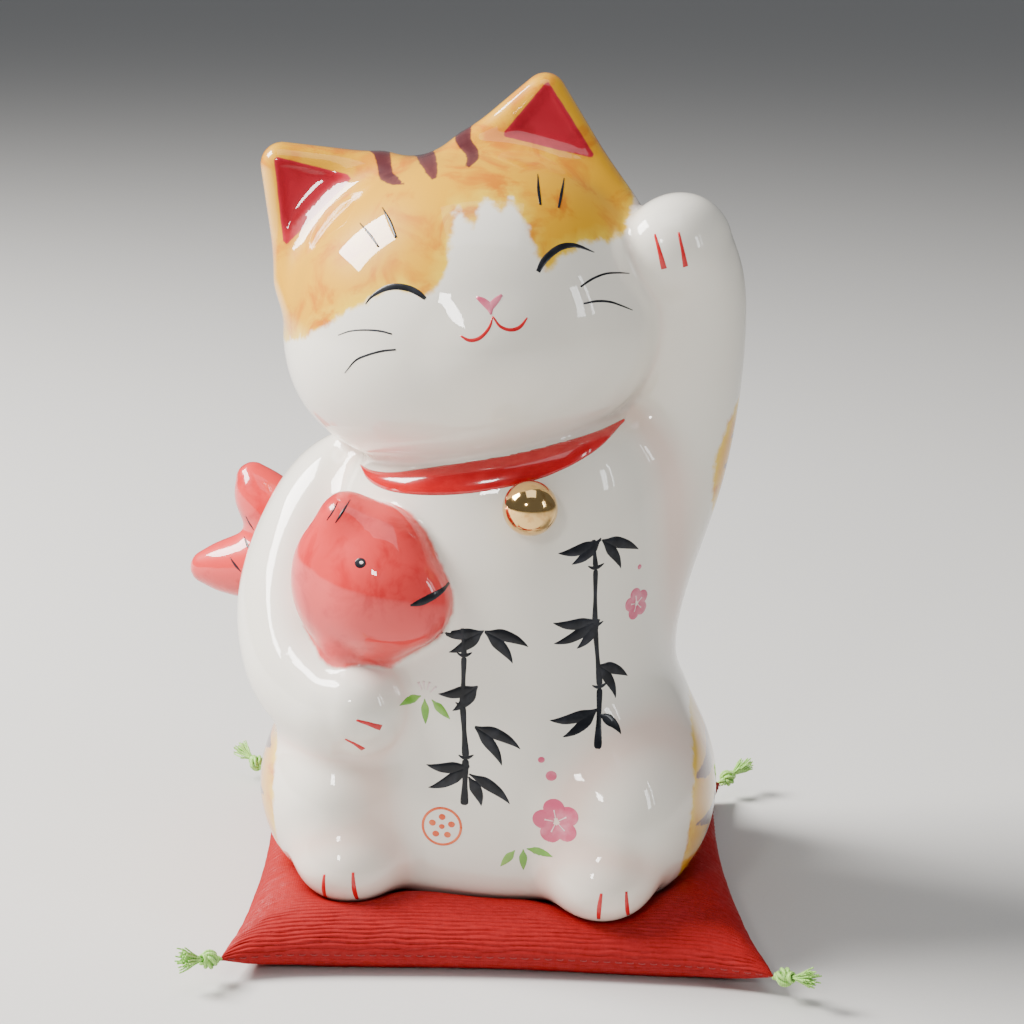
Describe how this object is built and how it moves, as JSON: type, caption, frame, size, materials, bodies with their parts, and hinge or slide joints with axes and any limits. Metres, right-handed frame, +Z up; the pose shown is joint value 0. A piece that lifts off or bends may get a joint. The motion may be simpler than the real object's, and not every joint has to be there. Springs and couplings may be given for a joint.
{
  "type": "beckoning cat figurine",
  "caption": "Glazed ceramic beckoning cat with one raised paw and a fish under its arm, seated on a square crepe cushion.",
  "frame": {"origin": "centre of the flat underside of the cushion, on the table", "axes": "+Z up through the cat, -Y the way the cat faces, +X the side of its raised arm"},
  "size_m": [0.1445, 0.1426, 0.1795],
  "materials": {
    "white_glaze": "glossy cream-white glaze with a faint pink blush in the creases",
    "amber_glaze": "glossy amber underglaze painted in watercolour washes",
    "coral_glaze": "glossy coral red, darker in the hollows",
    "red_glaze": "glossy red overglaze",
    "gold_lustre": "mirror-like fired gold lustre",
    "red_crepe": "matt crepe with fine wavy ribs",
    "wadding": "matt fibre filling",
    "green_thread": "soft shiny twisted thread"
  },
  "bodies": {
    "cushion": {"cushion_top_cover": "red_crepe", "cushion_bottom_cover": "red_crepe", "cushion_wadding": "wadding", "tassel_front_left": "green_thread", "tassel_front_right": "green_thread", "tassel_back_left": "green_thread", "tassel_back_right": "green_thread"},
    "figurine": {"torso": "white_glaze", "head": "white_glaze", "collar": "red_glaze", "bell": "gold_lustre", "left_ear": "amber_glaze", "right_ear": "amber_glaze", "raised_arm": "white_glaze", "holding_arm": "white_glaze", "fish_body": "coral_glaze", "fish_tail_upper": "coral_glaze", "fish_tail_lower": "coral_glaze", "cat_tail": "amber_glaze", "left_foot": "white_glaze", "right_foot": "white_glaze"}
  },
  "joints": [
    {"name": "figurine_lift", "type": "slide", "parent": "cushion", "child": "figurine", "axis": [0, 0, 1], "range_m": [0, 0.06]}
  ]
}
